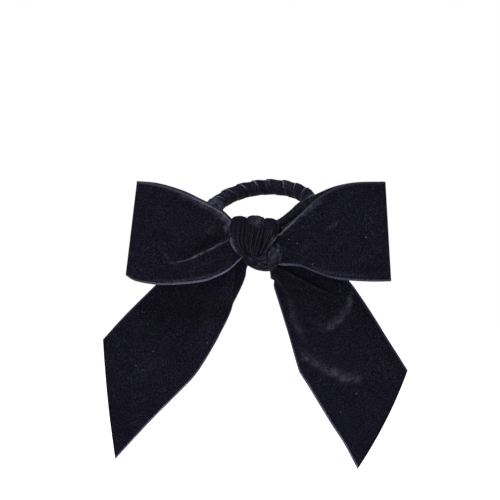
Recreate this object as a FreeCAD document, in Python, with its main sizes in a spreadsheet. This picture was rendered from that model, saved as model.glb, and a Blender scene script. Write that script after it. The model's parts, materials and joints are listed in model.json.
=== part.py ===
"""Velvet ribbon bow tied round a ribbon-wrapped hair elastic.

Row frame: millimetres, +Z up, +Y towards the head, -Y towards the viewer, +X to the viewer's
right. The origin is the centre of the elastic ring, whose plane rises towards the head.
"""
import FreeCAD, Part
import os

import Sketcher

DOCUMENT = FreeCAD.newDocument("HairBow")

# Driving dimensions. Lengths are in millimetres, angles in degrees.
DIMENSIONS = {
    # elastic ring
    "ring_radius": 27.6,
    "ring_rise": 31.0,
    "ring_roll": 7.0,
    "wrap_radius": 4.0,
    "wrap_bore": 2.45,
    "core_radius": 2.0,
    "join_radius": 2.35,
    "join_arc": 20.0,
    "collar_radius": 4.7,
    "collar_arc": 13.0,
    "collar_from_back": 62.0,
    "split_arc": 0.8,
    "ring_clearance": 0.03,
    # velvet ribbon of the bow
    "velvet_thick": 1.2,
    "fold_radius": 1.5,
    "fold_gap": 0.5,
    "swing_height": -38.85,
    "swing_gap": 0.8,
    # strap round the elastic
    "strap_half_width": 5.5,
    "strap_bore": 4.7,
    "strap_radius": 6.2,
    # depths in front of the ring's centre
    "core_back": 30.2,
    "core_depth": 5.5,
    "band_back": 36.0,
    "band_depth": 6.2,
    "turn_depth": 5.0,
    "loop_inner_depth": 32.7,
    "loop_end_depth": 31.2,
    "loop_front_depth": 38.2,
    "loop_back_depth": 26.7,
    "root_top_depth": 29.6,
    "root_mid_depth": 26.7,
    "tail_depth": 24.5,
    "tail_bow": 0.6,
    "root_overlap": 5.0,
    # blocks of material trimmed to their front-view outlines
    "trim_reach": 200.0,
    "block_width": 190.0,
    # knot, front view
    "core_left": -15.5,
    "core_right": 10.0,
    "core_top": -4.5,
    "core_low": -26.0,
    "core_rounding": 1.0,
    "core_side_bulge": 0.01,
    "core_top_bulge": 2.0,
    "core_low_rise": 2.0,
    "band_top_left": -16.9,
    "band_top_right": 8.3,
    "band_top": -3.6,
    "band_foot": -21.5,
    "band_rounding": 1.8,
    "seam_drop": 8.5,
    "seam_bow_x": 2.0,
    "seam_bow_rise": 6.5,
    "turn_right": 10.9,
    "turn_low": -29.6,
    "turn_rounding": 1.2,
    "turn_gap": 0.4,
}

# Front-view points of the two loops: x and z of each corner or arc middle.
LOOPS = {
    "left": {
        "top_end": (-65.5, 16.4),
        "low_end": (-70.5, -32.0),
        "low_mid": (-44.0, -36.7),
        "low_knot": (-15.0, -27.2),
        "top_knot": (-15.0, -5.0),
        "top_mid": (-36.5, 8.8),
    },
    "right": {
        "top_end": (63.0, 15.9),
        "low_end": (66.6, -33.8),
        "low_mid": (38.0, -33.8),
        "low_knot": (10.4, -25.4),
        "top_knot": (10.4, -2.0),
        "top_mid": (34.0, 11.9),
    },
}

# Front-view points of the two tails, from the knot to the slanting cut end.
TAILS = {
    "left": {
        "knot_inner": (-5.0, -22.0),
        "knot_outer": (-13.0, -22.0),
        "outer_knee": (-57.5, -37.6),
        "outer_corner": (-82.7, -66.6),
        "tip": (-76.4, -127.4),
        "inner_low": (-34.3, -82.2),
        "inner_knee": (-11.8, -38.5),
    },
    "right": {
        "knot_inner": (1.0, -22.0),
        "knot_outer": (9.0, -22.0),
        "outer_knee": (46.6, -38.4),
        "outer_corner": (75.4, -82.4),
        "tip": (50.2, -132.6),
        "inner_low": (20.2, -82.2),
        "inner_knee": (7.3, -38.5),
    },
}


class Size:
    """A length that knows both its value and the sheet expression it comes from."""

    def __init__(self, value, text):
        self.value = value
        self.text = text

    def __add__(self, other):
        other = as_size(other)
        return Size(self.value + other.value, f"({self.text} + {other.text})")

    def __sub__(self, other):
        other = as_size(other)
        return Size(self.value - other.value, f"({self.text} - {other.text})")

    def __mul__(self, factor):
        return Size(self.value * factor, f"({self.text} * {factor})")

    def __neg__(self):
        return self * -1


def as_size(number):
    return number if isinstance(number, Size) else Size(float(number), f"({float(number)})")


def size(alias):
    return Size(SHEET_VALUES[alias], f"Sizes.{alias}")


def point_size(group, name):
    """The (x, z) pair of a named front-view point."""
    return size(f"{group}_{name}_x"), size(f"{group}_{name}_z")


def make_sheet():
    """Write every driving dimension into the spreadsheet and return their values."""
    values = dict(DIMENSIONS)
    for part_name, sides in (("loop", LOOPS), ("tail", TAILS)):
        for side, points in sides.items():
            for name, (x, z) in points.items():
                values[f"{side}_{part_name}_{name}_x"] = x
                values[f"{side}_{part_name}_{name}_z"] = z
    sheet = DOCUMENT.addObject("Spreadsheet::Sheet", "Sizes")
    for row, (alias, value) in enumerate(values.items(), start=1):
        sheet.set(f"A{row}", alias)
        sheet.set(f"B{row}", str(value))
        sheet.setAlias(f"B{row}", alias)
    DOCUMENT.recompute()
    return values


def new_body(label):
    body = DOCUMENT.addObject("PartDesign::Body", label)
    body.Label = label
    return body


def new_sketch(body, name, plane_role):
    """A sketch flat on one of the body's own origin planes."""
    sketch = body.newObject("Sketcher::SketchObject", name)
    plane = next(item for item in body.Origin.OriginFeatures if item.Role == plane_role)
    sketch.AttachmentSupport = [(plane, "")]
    sketch.MapMode = "FlatFace"
    return sketch


def bind(sketch, geometry, position, across, up):
    """Tie one point of a sketch element to two sheet expressions."""
    for kind, length in (("DistanceX", across), ("DistanceY", up)):
        index = sketch.addConstraint(Sketcher.Constraint(kind, geometry, position, length.value))
        sketch.setExpression(f"Constraints[{index}]", length.text)


def vector(point):
    return FreeCAD.Vector(point[0].value, point[1].value, 0)


def draw_wire(sketch, start, steps):
    """Draw a closed outline. Each step is (end,) for a line or (middle, end) for an arc."""
    start = (as_size(start[0]), as_size(start[1]))
    previous = start
    for step in steps:
        end = (as_size(step[-1][0]), as_size(step[-1][1]))
        if len(step) == 1:
            line = Part.LineSegment(vector(previous), vector(end))
            geometry = sketch.addGeometry(line, False)
            bind(sketch, geometry, 1, *previous)
            bind(sketch, geometry, 2, *end)
        else:
            middle = (as_size(step[0][0]), as_size(step[0][1]))
            arc = Part.Arc(vector(previous), vector(middle), vector(end))
            geometry = sketch.addGeometry(arc, False)
            marker = sketch.addGeometry(Part.Point(vector(middle)), True)
            first_is_start = sketch.getPoint(geometry, 1).distanceToPoint(vector(previous)) < 1e-6
            bind(sketch, geometry, 1 if first_is_start else 2, *previous)
            bind(sketch, geometry, 2 if first_is_start else 1, *end)
            bind(sketch, marker, 1, *middle)
            sketch.addConstraint(Sketcher.Constraint("PointOnObject", marker, 1, geometry))
        previous = end


def draw_frame(sketch, reach):
    """A square frame far outside the object, so that a pocket leaves only what is inside it."""
    corners = [(reach, -reach), (reach, reach), (-reach, reach), (-reach, -reach)]
    draw_wire(sketch, corners[-1], [(corner,) for corner in corners])


def draw_circle(sketch, centre, radius):
    circle = Part.Circle(vector(centre), FreeCAD.Vector(0, 0, 1), radius.value)
    geometry = sketch.addGeometry(circle, False)
    bind(sketch, geometry, 3, *centre)
    index = sketch.addConstraint(Sketcher.Constraint("Radius", geometry, radius.value))
    sketch.setExpression(f"Constraints[{index}]", radius.text)


def pad_both_ways(body, sketch, length):
    pad = body.newObject("PartDesign::Pad", f"{sketch.Name}_pad")
    pad.Profile = sketch
    pad.SideType = "Symmetric"
    pad.setExpression("Length", length.text)
    return pad


def trim_to_outline(body, start, steps):
    """Cut away everything outside a front-view outline."""
    sketch = new_sketch(body, f"{body.Name}_front", "XZ_Plane")
    draw_frame(sketch, size("trim_reach"))
    draw_wire(sketch, start, steps)
    pocket = body.newObject("PartDesign::Pocket", f"{body.Name}_trim")
    pocket.Profile = sketch
    pocket.SideType = "Symmetric"
    pocket.Type = "ThroughAll"
    DOCUMENT.recompute()


def front_pad(label, start, steps, back, depth, rounding):
    """A block with a front-view outline, from `back` forwards by `depth`, its front edge rounded."""
    body = new_body(label)
    sketch = new_sketch(body, f"{label}_outline", "XZ_Plane")
    sketch.setExpression("AttachmentOffset.Base.z", back.text)
    draw_wire(sketch, start, steps)
    pad = body.newObject("PartDesign::Pad", f"{label}_block")
    pad.Profile = sketch
    pad.setExpression("Length", depth.text)
    DOCUMENT.recompute()
    front = -(back.value + depth.value)
    edges = []
    for number, edge in enumerate(pad.Shape.Edges, start=1):
        if all(abs(vertex.Y - front) < 1e-4 for vertex in edge.Vertexes):
            edges.append(f"Edge{number}")
    fillet = body.newObject("PartDesign::Fillet", f"{label}_rounding")
    fillet.Base = (pad, edges)
    fillet.setExpression("Radius", rounding.text)
    return body


def turned(body, axis, angle):
    """Turn a body about an axis through the ring's centre, after any turn it already has."""
    body.Placement = FreeCAD.Placement(FreeCAD.Vector(), FreeCAD.Rotation(axis, angle.value)) * body.Placement


def set_on_ring(body):
    """Tilt a body made in the flat ring's frame by the ring's rise and roll."""
    turned(body, FreeCAD.Vector(1, 0, 0), size("ring_rise"))
    turned(body, FreeCAD.Vector(0, 1, 0), -size("ring_roll"))


def ring_arc(label, side, outer, inner, arc, turn=None):
    """Part of the ring: a round tube or rod swept about the ring's axis.

    side is -1 for the part under the knot and +1 for the part against the head; turn moves it
    round the ring from there.
    """
    body = new_body(label)
    sketch = new_sketch(body, f"{label}_section", "YZ_Plane")
    centre = (size("ring_radius") * side, as_size(0))
    draw_circle(sketch, centre, outer)
    if inner is not None:
        draw_circle(sketch, centre, inner)
    sweep = body.newObject("PartDesign::Revolution", f"{label}_sweep")
    sweep.Profile = sketch
    axis = next(item for item in body.Origin.OriginFeatures if item.Role == "Z_Axis")
    sweep.ReferenceAxis = (axis, [""])
    sweep.Midplane = True
    sweep.setExpression("Angle", arc.text)
    if turn is not None:
        turned(body, FreeCAD.Vector(0, 0, 1), turn)
    set_on_ring(body)


def build_elastic():
    half = as_size(180) - size("split_arc")
    core = size("core_radius")
    wrap = size("wrap_radius")
    wrap_bore = size("wrap_bore")
    clearance = size("ring_clearance")
    ring_arc("elastic_core_near", -1, core, None, half)
    ring_arc("elastic_core_far", 1, core, None, half)
    ring_arc("elastic_join", -1, size("join_radius"), core + clearance, size("join_arc"))
    ring_arc("wrap_ribbon_near", -1, wrap, wrap_bore, half)
    ring_arc("wrap_ribbon_far", 1, wrap, wrap_bore, half)
    ring_arc("wrap_end_collar", 1, size("collar_radius"), wrap + clearance, size("collar_arc"),
             size("collar_from_back"))


def build_strap():
    """The ribbon turn that hugs the wrapped elastic behind the knot."""
    body = new_body("knot_strap")
    sketch = new_sketch(body, "strap_section", "YZ_Plane")
    centre = (-size("ring_radius"), as_size(0))
    draw_circle(sketch, centre, size("strap_radius"))
    draw_circle(sketch, centre, size("strap_bore"))
    pad_both_ways(body, sketch, size("strap_half_width") * 2)
    set_on_ring(body)


def build_knot():
    left = size("core_left")
    right = size("core_right")
    top = size("core_top")
    low = size("core_low")
    middle = (left + right) * 0.5
    waist = (top + low) * 0.5
    bulge = size("core_side_bulge")
    low_right = low + size("core_low_rise")
    front_pad("knot_core", (left, top), [
        ((left - bulge, waist), (left, low)),
        ((middle, low_right + 1), (right, low_right)),
        ((right + bulge, waist), (right, top)),
        ((middle, top - size("core_top_bulge")), (left, top)),
    ], size("core_back"), size("core_depth"), size("core_rounding"))

    top_left = size("band_top_left")
    top_right = size("band_top_right")
    band_top = size("band_top")
    foot = size("band_foot")
    band_middle = (top_left + top_right) * 0.5
    seam_top = (top_right - 0.5, band_top - size("seam_drop"))
    seam_middle = (size("seam_bow_x"), foot + size("seam_bow_rise"))
    seam_foot = (band_middle + 0.5, foot)
    front_pad("knot_band", (top_left, band_top - 1.5), [
        ((top_left + 3.2, band_top - 10), (seam_foot[0] - 2.5, foot + 1)),
        (seam_foot,),
        (seam_middle, seam_top),
        ((top_right + 1.4, band_top - 5), (top_right, band_top - 1)),
        ((band_middle, band_top + 1.2), (top_left, band_top - 1.5)),
    ], size("band_back"), size("band_depth"), size("band_rounding"))

    turn_low = size("turn_low")
    turn_right = size("turn_right")
    gap = size("turn_gap")
    front_pad("knot_lower_turn", (seam_top[0] + gap, seam_top[1] - gap), [
        ((turn_right, foot + 1.5), (turn_right - 3.2, turn_low + 2.6)),
        ((turn_right * 0.1, turn_low), (seam_foot[0] - 4, foot - 3)),
        ((seam_foot[0], foot - gap),),
        ((seam_middle[0] + gap, seam_middle[1] - gap), (seam_top[0] + gap, seam_top[1] - gap)),
    ], size("band_back"), size("turn_depth"), size("turn_rounding"))


def build_loop(side):
    """A flattened loop: a hollow teardrop in plan, trimmed to its front-view outline."""
    group = f"{side}_loop"
    out = -1 if side == "left" else 1
    fold = size("fold_radius")
    knot_edge = size("core_left" if side == "left" else "core_right")
    inner_x = knot_edge + (fold + size("fold_gap")) * out
    end_x = point_size(group, "low_end")[0] - fold * out
    middle_x = (inner_x + end_x) * 0.5
    inner_y = -size("loop_inner_depth")
    end_y = -size("loop_end_depth")

    body = new_body(group)
    sketch = new_sketch(body, f"{group}_plan", "XY_Plane")
    for inset in (as_size(0), size("velvet_thick")):
        nose = fold - inset
        front = -size("loop_front_depth") + inset
        back = -size("loop_back_depth") - inset
        draw_wire(sketch, (inner_x, inner_y - nose), [
            ((middle_x, front), (end_x, end_y - nose)),
            ((end_x + nose * out, end_y), (end_x, end_y + nose)),
            ((middle_x, back), (inner_x, inner_y + nose)),
            ((inner_x - nose * out, inner_y), (inner_x, inner_y - nose)),
        ])
    pad_both_ways(body, sketch, size("block_width"))
    low_knot = point_size(group, "low_knot")
    top_knot = point_size(group, "top_knot")
    trim_to_outline(body, point_size(group, "top_end"), [
        (point_size(group, "low_end"),),
        (point_size(group, "low_mid"), low_knot),
        (top_knot,),
        (point_size(group, "top_mid"), point_size(group, "top_end")),
    ])


def curved_sheet(body, points):
    """A ribbon-thick sheet through three (depth, height) points, as wide as the object."""
    sketch = new_sketch(body, f"{body.Name}_side", "YZ_Plane")
    half = size("velvet_thick") * 0.5
    (top, top_z), (mid, mid_z), (foot, foot_z) = points
    draw_wire(sketch, (top - half, top_z), [
        ((mid - half, mid_z), (foot - half, foot_z)),
        ((foot + half, foot_z),),
        ((mid + half, mid_z), (top + half, top_z)),
        ((top - half, top_z),),
    ])
    pad_both_ways(body, sketch, size("block_width"))


def build_tail(side):
    """The tail in two pieces: its root at the knot, and the hanging length that swings."""
    group = f"{side}_tail"
    swing = size("swing_height")
    half_gap = size("swing_gap") * 0.5
    top_z = point_size(group, "knot_inner")[1]
    inner_knee = point_size(group, "inner_knee")
    outer_knee = point_size(group, "outer_knee")
    depth = -size("tail_depth")

    root = new_body(f"{group}_root")
    below = swing - size("root_overlap")
    curved_sheet(root, [
        (-size("root_top_depth"), top_z + 1),
        (-size("root_mid_depth"), top_z - 3.5),
        (depth, swing + half_gap),
    ])
    trim_to_outline(root, point_size(group, "knot_inner"), [
        (point_size(group, "knot_outer"),),
        (outer_knee,),
        ((outer_knee[0], below),),
        ((inner_knee[0], below),),
        (inner_knee,),
        (point_size(group, "knot_inner"),),
    ])

    tail = new_body(group)
    tip_z = point_size(group, "tip")[1]
    curved_sheet(tail, [
        (depth, swing - half_gap),
        (depth - size("tail_bow"), (swing + tip_z) * 0.5),
        (depth + size("tail_bow"), tip_z - 2),
    ])
    trim_to_outline(tail, (inner_knee[0], swing), [
        ((outer_knee[0], swing),),
        (point_size(group, "outer_corner"),),
        (point_size(group, "tip"),),
        (point_size(group, "inner_low"),),
        ((inner_knee[0], swing),),
    ])


def check_and_export():
    """Stop on any failed feature or bad shape, then write one STEP file per body."""
    DOCUMENT.recompute()
    for item in DOCUMENT.Objects:
        if "Invalid" in item.State or "Error" in item.State:
            raise RuntimeError(f"{item.Label} is {item.State}")
    bodies = [item for item in DOCUMENT.Objects if item.TypeId == "PartDesign::Body"]
    for body in bodies:
        if body.Shape.isNull() or not body.Shape.isValid() or len(body.Shape.Solids) != 1:
            raise RuntimeError(f"{body.Label} has a bad shape")
    os.makedirs("parts", exist_ok=True)
    for body in bodies:
        body.Shape.exportStep(f"parts/{body.Label}.step")
        box = body.Shape.BoundBox
        print(f"{body.Label}: {body.Shape.Volume:.0f} mm3, x {box.XMin:.1f}..{box.XMax:.1f}, "
              f"y {box.YMin:.1f}..{box.YMax:.1f}, z {box.ZMin:.1f}..{box.ZMax:.1f}")


SHEET_VALUES = make_sheet()
build_elastic()
build_strap()
build_knot()
for SIDE in ("left", "right"):
    build_loop(SIDE)
    build_tail(SIDE)
check_and_export()
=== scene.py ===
"""Looks of the velvet hair bow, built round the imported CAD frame.

Metres, in the CAD's frame: +Z up, -Y towards the viewer, origin at the hair elastic's centre.
Outlines of the ribbon are fractions of the box of the CAD node that they stand for.
"""
import json
import math

import bpy
import numpy as np
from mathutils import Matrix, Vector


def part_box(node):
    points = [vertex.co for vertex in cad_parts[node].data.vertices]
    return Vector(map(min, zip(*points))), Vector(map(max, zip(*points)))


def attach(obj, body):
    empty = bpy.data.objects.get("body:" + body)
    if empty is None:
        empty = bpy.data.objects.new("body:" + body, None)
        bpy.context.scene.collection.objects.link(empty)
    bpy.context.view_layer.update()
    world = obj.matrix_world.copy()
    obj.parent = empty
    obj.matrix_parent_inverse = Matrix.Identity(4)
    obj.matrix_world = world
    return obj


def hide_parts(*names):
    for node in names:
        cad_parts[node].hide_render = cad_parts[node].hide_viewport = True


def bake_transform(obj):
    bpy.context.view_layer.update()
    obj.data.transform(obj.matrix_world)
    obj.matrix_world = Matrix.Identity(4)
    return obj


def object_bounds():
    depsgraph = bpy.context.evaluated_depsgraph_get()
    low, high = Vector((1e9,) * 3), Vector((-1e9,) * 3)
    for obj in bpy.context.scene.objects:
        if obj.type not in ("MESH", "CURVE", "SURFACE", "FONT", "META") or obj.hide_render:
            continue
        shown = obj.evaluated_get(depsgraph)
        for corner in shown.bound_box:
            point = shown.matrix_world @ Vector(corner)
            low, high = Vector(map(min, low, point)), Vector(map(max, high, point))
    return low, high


MM = 0.001
TAU = 2 * math.pi

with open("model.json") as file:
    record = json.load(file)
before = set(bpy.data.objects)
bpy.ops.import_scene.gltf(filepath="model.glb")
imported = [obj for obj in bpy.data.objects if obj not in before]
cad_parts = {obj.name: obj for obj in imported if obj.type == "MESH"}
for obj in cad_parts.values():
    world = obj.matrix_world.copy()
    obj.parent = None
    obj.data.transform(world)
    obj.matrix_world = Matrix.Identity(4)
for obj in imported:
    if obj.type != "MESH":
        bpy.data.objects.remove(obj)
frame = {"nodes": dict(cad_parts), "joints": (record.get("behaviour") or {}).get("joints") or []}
cad_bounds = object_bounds()
JOINTS = {joint["name"]: joint for joint in frame["joints"]}

# Velvet ribbon of the bow
RIBBON_THICK = 0.8 * MM
SELVEDGE_WIDTH = 1.55 * MM
SELVEDGE_THICK = 0.95 * MM
RIB_PITCH = 0.65 * MM

# Ring of the elastic, from the CAD
NEAR_TUBE = np.array(JOINTS["bow_tilt"]["pos_m"])
RING_RADIUS = float(np.linalg.norm(NEAR_TUBE))
RING_BACK = -NEAR_TUBE / RING_RADIUS
RING_SIDE = np.array(JOINTS["bow_tilt"]["axis"])
RING_UP = np.cross(RING_SIDE, RING_BACK)
TUBE_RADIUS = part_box("wrap_ribbon_near")[1].x - RING_RADIUS * RING_SIDE[0]
CORD_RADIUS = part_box("elastic_core_near")[1].x - RING_RADIUS * RING_SIDE[0]

# Wrap ribbon wound round the elastic
WRAP_TURNS = 22
WRAP_PITCH = TAU * RING_RADIUS / WRAP_TURNS
WRAP_WIDTH = 1.3 * WRAP_PITCH
WRAP_THICK = 0.55 * MM
WRAP_RISE = 0.45 * MM  # height above the CAD tube from which its surface is worked out
LIP_HALF_WIDTH = 0.46 * MM
LIP_HALF_THICK = 0.32 * MM


# ---- geometry helpers

def distance_along(line):
    """Each point's distance from the line's first point, measured along the line."""
    return np.concatenate([[0], np.cumsum(np.linalg.norm(np.diff(line, axis=0), axis=1))])


def smooth_line(points, where):
    """Points at the fractions `where` of the length of a smooth curve through `points`."""
    points = np.asarray(points, float)
    guided = np.vstack([2 * points[0] - points[1], points, 2 * points[-1] - points[-2]])
    steps = np.linspace(0, 1, 24, endpoint=False)[:, None]
    spans = []
    for a, b, c, d in zip(guided[:-3], guided[1:-2], guided[2:-1], guided[3:]):
        spans.append(0.5 * (2 * b + (c - a) * steps + (2 * a - 5 * b + 4 * c - d) * steps ** 2
                            + (3 * b - a - 3 * c + d) * steps ** 3))
    dense = np.vstack(spans + [points[-1:]])
    along = distance_along(dense)
    at = np.asarray(where) * along[-1]
    return np.stack([np.interp(at, along, dense[:, k]) for k in range(dense.shape[1])], axis=1)


def in_box(node, fractions):
    """Front-view points (x, z) given as fractions of a CAD node's box."""
    low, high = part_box(node)
    return [(low.x + fx * (high.x - low.x), low.z + fz * (high.z - low.z)) for fx, fz in fractions]


def ruled(first, second, along, across):
    """Front-view grid (x, z) between two edge lines."""
    a = smooth_line(first, along)[:, None, :]
    b = smooth_line(second, along)[:, None, :]
    share = np.asarray(across)[None, :, None]
    return a * (1 - share) + b * share


def eased(share):
    """Shares from 0 to 1, clipped, with a gentle start and end."""
    share = np.clip(share, 0, 1)
    return share * share * (3 - 2 * share)


def unit(vectors):
    return vectors / np.maximum(np.linalg.norm(vectors, axis=-1, keepdims=True), 1e-12)


def grid_normals(grid):
    return unit(np.cross(np.gradient(grid, axis=0), np.gradient(grid, axis=1)))


def beside(grid, line):
    """For each grid point: its signed distance from a front-view line (positive to the right of
    its direction), how far along the line it is, the line's normal there, and the overshoot."""
    dense = smooth_line(line, np.linspace(0, 1, 90))
    tangent = unit(np.gradient(dense, axis=0))
    normal = np.stack([tangent[:, 1], -tangent[:, 0]], axis=1)
    flat = grid[..., [0, 2]].reshape(-1, 2)
    gaps = flat[:, None, :] - dense[None, :, :]
    nearest = np.argmin((gaps ** 2).sum(axis=2), axis=1)
    gap = gaps[np.arange(len(flat)), nearest]
    side = (gap * normal[nearest]).sum(axis=1)
    over = np.abs((gap * tangent[nearest]).sum(axis=1))
    shape = grid.shape[:2]
    place = (nearest / (len(dense) - 1)).reshape(shape)
    return side.reshape(shape), place, normal[nearest].reshape(*shape, 2), over.reshape(shape)


def fold(grid, line, height, soft, overlap, front_side, hold, spread):
    """Fold the cloth along a front-view line, so that one side laps over the other.

    The fold is full for the share `hold` of the line and dies out towards its end.
    """
    side, place, normal, over = beside(grid, line)
    side = side * front_side
    strength = eased((1 - place) / (1 - hold)) * np.exp(-(over / (2 * MM)) ** 2)
    step = side / soft
    lift = 0.5 * (1 + np.tanh(step)) * np.exp(-np.maximum(side, 0) / spread)
    grid[..., 1] -= height * strength * lift
    shift = overlap * strength * step * np.exp(-0.5 * step ** 2)
    grid[..., [0, 2]] -= normal * (front_side * shift)[..., None]


def ridge(grid, line, height, width):
    """A soft raised line, or a soft hollow where height is negative. It dies out at both ends."""
    side, place, _, over = beside(grid, line)
    ends = np.sin(math.pi * place) ** 0.5
    grid[..., 1] -= height * ends * np.exp(-(side / width) ** 2 - (over / width) ** 2)


def pile_and_highlight_share(grid, strokes):
    """How pale each point is, from brushed pile and painted highlight, given as strokes of (line, width,
    strength).

    A stroke has its sharper edge on the right-hand side of its line, and is uneven along it.
    """
    share = np.zeros(grid.shape[:2])
    for line, width, strength in strokes:
        side, place, _, over = beside(grid, line)
        side = side + 0.14 * width * (np.sin(7 * place + 400 * width / MM) + 0.7 * np.sin(19 * place))
        reach = np.where(side > 0, 0.62, 1.2) * width
        ends = np.clip(4 * place, 0, 1) * np.clip(4 * (1 - place), 0, 1)
        patchy = 0.85 + 0.15 * np.sin(23 * place + 90 * width / MM)
        stroke = strength * patchy * (0.25 + 0.75 * ends) * np.exp(-(side / reach) ** 2 - (over / width) ** 2)
        share = np.maximum(share, stroke)
    return share ** 1.25


def column_lengths(grid):
    """The cloth's length down each of its columns."""
    return np.linalg.norm(np.diff(grid, axis=0), axis=2).sum(axis=0)


def ripple(across, along, height, waves, seed):
    """A few gentle waves of the cloth, as heights."""
    rng = np.random.default_rng(seed)
    total = np.zeros(np.broadcast(across, along).shape)
    for _ in range(waves):
        turns_across, turns_along = rng.uniform(-2.2, 2.2, 2)
        total = total + np.sin(TAU * (turns_across * across + turns_along * along + rng.random()))
    return height * total / waves


def add_mesh(name, vertices, faces, materials, face_slots=None, attributes=None):
    mesh = bpy.data.meshes.new(name)
    mesh.from_pydata([tuple(v) for v in vertices], [], faces)
    for material in materials:
        mesh.materials.append(material)
    if face_slots is not None:
        mesh.polygons.foreach_set("material_index", np.asarray(face_slots, np.int32))
    mesh.polygons.foreach_set("use_smooth", np.ones(len(mesh.polygons), bool))
    for key, values in (attributes or {}).items():
        layer = mesh.attributes.new(key, "FLOAT", "POINT")
        layer.data.foreach_set("value", np.asarray(values, np.float32).ravel())
    mesh.validate()
    mesh.update()
    piece = bpy.data.objects.new(name, mesh)
    bpy.context.scene.collection.objects.link(piece)
    return piece


def grid_faces(rows, columns, start=0, flip=False):
    index = start + np.arange(rows * columns).reshape(rows, columns)
    corners = [index[:-1, :-1], index[1:, :-1], index[1:, 1:], index[:-1, 1:]]
    if flip:
        corners.reverse()
    return np.stack(corners, axis=-1).reshape(-1, 4).tolist()


def swept_faces(rows, around, start=0):
    """Faces of a tube whose sections have `around` points each, with both ends closed."""
    index = start + np.arange(rows * around).reshape(rows, around)
    following = np.roll(index, -1, axis=1)
    faces = np.stack([index[:-1], following[:-1], following[1:], index[1:]], axis=-1)
    return faces.reshape(-1, 4).tolist() + [index[0, ::-1].tolist(), index[-1].tolist()]


def cloth_piece(name, grid, thick, front, back, rim, pile_and_highlight=None, back_painted_light=0.0):
    """A closed sheet of cloth: `grid` is its pile face, and its back lies `thick` behind.

    The last two say how pale the face is at each point, from brushed pile and painted highlight, and how much
    painted light is laid over the whole back.
    """
    rows, columns = grid.shape[:2]
    normals = grid_normals(grid)
    vertices = np.vstack([grid.reshape(-1, 3), (grid - normals * thick).reshape(-1, 3)])
    count = rows * columns
    faces = grid_faces(rows, columns) + grid_faces(rows, columns, count, True)
    slots = [0] * (len(faces) // 2) + [1] * (len(faces) // 2)
    index = np.arange(count).reshape(rows, columns)
    loop = np.concatenate([index[0, :-1], index[:-1, -1], index[-1, :0:-1], index[:0:-1, 0]])
    following = np.roll(loop, -1)
    for a, b in zip(loop.tolist(), following.tolist()):
        faces.append([a, b, b + count, a + count])
        slots.append(2)
    attributes = None
    if pile_and_highlight is not None:
        attributes = {"pile_and_highlight": np.concatenate([pile_and_highlight.ravel(), np.full(count, back_painted_light)])}
    return add_mesh(name, vertices, faces, [front, back, rim], slots, attributes)


def face_viewer(grid, pile_and_highlight, glows, rows=slice(None)):
    """The same sheet with the pile face of `rows` towards the viewer."""
    if grid_normals(grid)[rows, :, 1].mean() > 0:
        return grid[:, ::-1], pile_and_highlight[:, ::-1], glows[::-1]
    return grid, pile_and_highlight, glows


def faces_out(grid, centre):
    """Whether the grid's normals point away from `centre`, a point or a grid of points."""
    return np.einsum("ijk,ijk->ij", grid_normals(grid), grid - centre).mean() >= 0


def selvedges(name, grid, glows):
    """The ribbon's woven selvedges: flat beads along its first and last columns, whose ribs follow
    the weft, in one mesh. glows says how much painted highlight each bead gets, from its first row to its
    last.
    """
    normals = grid_normals(grid)
    middle = grid - normals * RIBBON_THICK * 0.5
    around = np.linspace(0, TAU, 8, endpoint=False)
    vertices, faces, bright = [], [], []
    for column, inner, glow in ((0, 1, glows[0]), (-1, -2, glows[1])):
        lines = middle[:, column], normals[:, column], unit(grid[:, inner] - grid[:, column])
        along = distance_along(lines[0])
        ribs = max(4, round(along[-1] / RIB_PITCH))
        at = np.linspace(0, along[-1], ribs * 4 + 1)
        centre, out, over = (np.stack([np.interp(at, along, line[:, k]) for k in range(3)], axis=1)
                             for line in lines)
        out, over = unit(out), unit(over)
        swell = 1 + 0.16 * np.cos(TAU * at / (along[-1] / ribs))
        ring = (centre[:, None, :]
                + over[:, None, :] * (0.5 * SELVEDGE_WIDTH * np.cos(around))[None, :, None]
                + out[:, None, :] * (0.5 * SELVEDGE_THICK * np.sin(around))[None, :, None]
                * swell[:, None, None])
        faces += swept_faces(len(at), len(around), len(vertices))
        vertices.extend(ring.reshape(-1, 3).tolist())
        highlighted = np.interp(np.linspace(0, 1, len(at)), np.linspace(0, 1, len(glow)), glow)
        bright.append(np.repeat(highlighted, len(around)))
    return add_mesh(name, vertices, faces, [SELVEDGE], None, {"pile_and_highlight": np.concatenate(bright)})


def tube_piece(name, centres, sides, outs, radii, materials, pile_and_highlight=None):
    """A swept closed tube. radii is (rows, around) and scales the two section directions."""
    rows, around = radii.shape[:2]
    angle = np.linspace(0, TAU, around, endpoint=False)
    ring = (centres[:, None, :]
            + sides[:, None, :] * (np.cos(angle) * radii[..., 0])[..., None]
            + outs[:, None, :] * (np.sin(angle) * radii[..., 1])[..., None])
    attributes = None if pile_and_highlight is None else {"pile_and_highlight": pile_and_highlight}
    return add_mesh(name, ring.reshape(-1, 3), swept_faces(rows, around), materials, None, attributes)


# ---- materials

def new_material(name):
    material = bpy.data.materials.new(name)
    material.use_nodes = True
    nodes = material.node_tree.nodes
    nodes.clear()
    shader = nodes.new("ShaderNodeBsdfPrincipled")
    output = nodes.new("ShaderNodeOutputMaterial")
    material.node_tree.links.new(shader.outputs["BSDF"], output.inputs["Surface"])
    return material, shader


def feed(material, made, inputs):
    """Set or link a node's inputs."""
    for key, value in inputs.items():
        if isinstance(value, bpy.types.NodeSocket):
            material.node_tree.links.new(value, made.inputs[key])
        else:
            made.inputs[key].default_value = value


def node(material, kind, inputs=None, **settings):
    made = material.node_tree.nodes.new(kind)
    for key, value in settings.items():
        setattr(made, key, value)
    feed(material, made, inputs or {})
    return made


def object_place(material):
    return node(material, "ShaderNodeTexCoord").outputs["Object"]


SPOT_SCALE = 0.6  # the noise scale whose spots are about a metre across
RIB_SCALE = 0.31  # the wave scale whose ribs are a metre apart


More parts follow.
